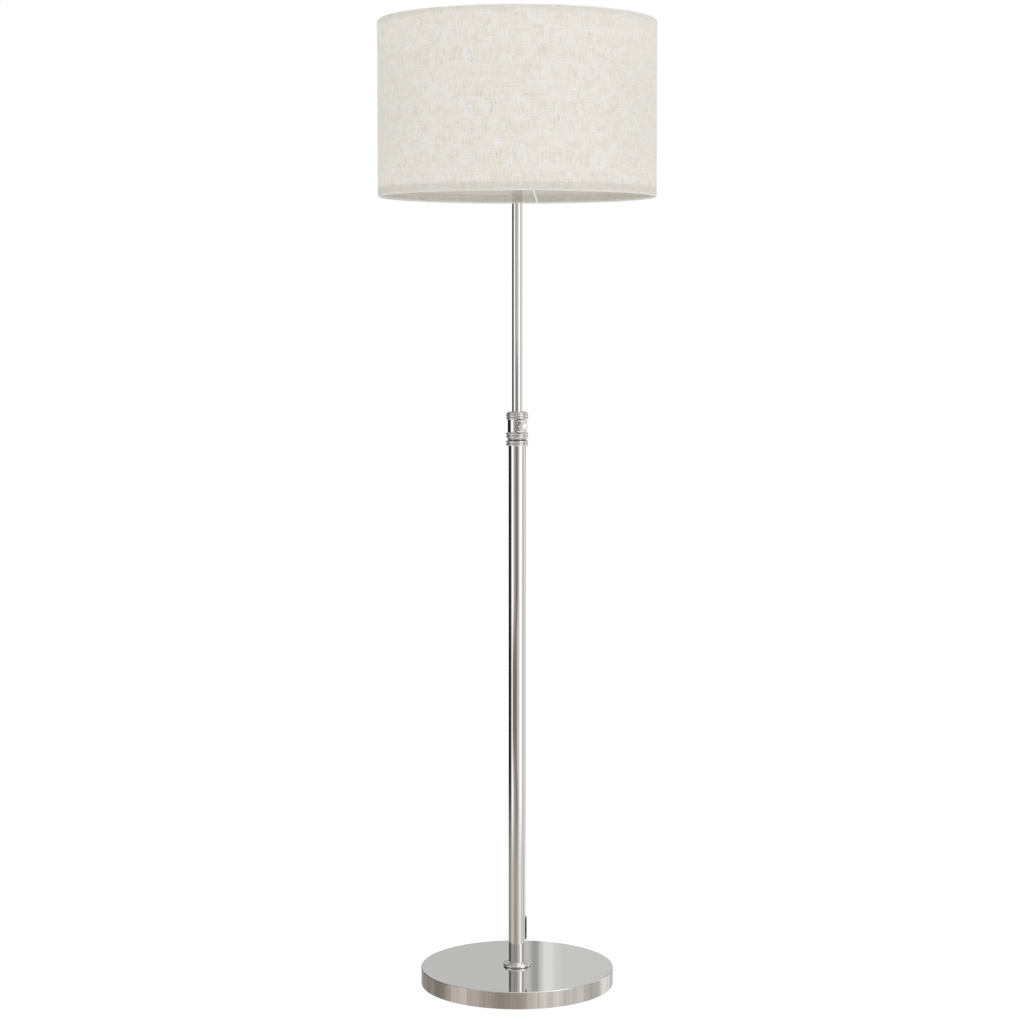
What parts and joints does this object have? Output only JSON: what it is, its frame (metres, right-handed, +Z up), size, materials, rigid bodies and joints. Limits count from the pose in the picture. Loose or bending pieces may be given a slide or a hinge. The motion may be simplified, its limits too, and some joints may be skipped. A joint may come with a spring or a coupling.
{
  "type": "telescopic floor lamp",
  "caption": "Floor lamp with a heavy round foot, a polished telescoping pole locked by a thumb screw, and a straight linen drum shade.",
  "frame": {"origin": "centre of the foot's underside, on the floor", "axes": "+Z up along the pole, the thumb screw points along -Y, the cord gland along +X"},
  "size_m": [0.4063, 0.4064, 1.42],
  "materials": {
    "polished_plate": "mirror-polished plated steel and brass",
    "polished_tube": "mirror-polished plated steel tube",
    "cast_iron": "grey cast iron, raw",
    "foam_pad": "black foam pad, matte",
    "plain_steel": "zinc-plated steel",
    "spring_steel": "dark spring steel",
    "black_rubber": "black rubber, satin",
    "nylon": "natural nylon",
    "flex_sheath": "white cable sheath",
    "brass": "plain turned brass",
    "holder_metal": "plated spun steel",
    "holder_plastic": "white moulded plastic",
    "insulator": "glazed white insulator",
    "switch_plastic": "black moulded plastic",
    "frosted_glass": "frosted white",
    "bulb_cap_metal": "thin rolled aluminium",
    "white_enamel": "white powder coat on steel wire",
    "shade_backing": "white translucent plastic sheet",
    "linen": "natural linen, plain weave with slubs"
  },
  "bodies": {
    "stand": {"base_cover": "polished_plate", "base_weight": "cast_iron", "base_pad": "foam_pad", "foot_collar": "polished_plate", "foot_plug": "plain_steel", "foot_bolt": "plain_steel", "foot_washer": "plain_steel", "lower_tube": "polished_tube", "cord_gland": "black_rubber", "tube_collar": "polished_plate", "clamp_head": "polished_plate", "head_bush": "nylon", "flex_tail": "flex_sheath", "flex_coil": "flex_sheath"},
    "clamp_pellet": {"clamp_shoe": "brass"},
    "thumb_screw": {"clamp_screw": "polished_plate", "clamp_knob": "polished_plate"},
    "pole_guide": {"tube_guide": "nylon"},
    "switch": {"switch_knob": "switch_plastic"},
    "pole": {"guide_clips": "spring_steel", "upper_tube": "polished_tube", "flex_grommet": "black_rubber", "tube_plug": "brass", "neck_collar": "polished_plate", "threaded_nipple": "brass", "flex_upper": "flex_sheath", "holder_leads": "flex_sheath", "holder_locknut": "brass", "holder_cap": "holder_metal", "holder_shell": "holder_plastic", "holder_insulator": "insulator", "screw_shell": "brass", "centre_contact": "brass", "shade_ring_nut": "holder_plastic", "switch_housing": "switch_plastic", "bulb_glass": "frosted_glass", "bulb_cap": "bulb_cap_metal", "fitter_ring": "white_enamel", "spider_arms": "white_enamel", "shade_bottom_ring": "white_enamel", "shade_top_ring": "white_enamel", "shade_liner": "shade_backing", "shade_linen": "linen", "shade_bottom_hem": "linen", "shade_top_hem": "linen"}
  },
  "joints": [
    {"name": "pellet_travel", "type": "slide", "parent": "stand", "child": "clamp_pellet", "axis": [0, -1, 0], "range_m": [0, 0.0016]},
    {"name": "knob_turn", "type": "hinge", "parent": "clamp_pellet", "child": "thumb_screw", "pos_m": [0, -0.023, 0.8328], "axis": [0, -1, 0], "range_deg": [0, 720]},
    {"name": "pole_slide", "type": "slide", "parent": "stand", "child": "pole_guide", "axis": [0, 0, 1], "range_m": [-0.29, 0.29], "deforming": ["flex_coil"]},
    {"name": "pole_swivel", "type": "hinge", "parent": "pole_guide", "child": "pole", "pos_m": [0, 0, 1], "axis": [0, 0, 1], "range_deg": [-180, 180]},
    {"name": "switch_turn", "type": "hinge", "parent": "pole", "child": "switch", "pos_m": [0, -0.025, 1.2174], "axis": [0, -1, 0], "continuous": true}
  ],
  "couplings": [
    {"joint": "pellet_travel", "follows": "knob_turn", "m_per_rad": 0.00012732}
  ]
}
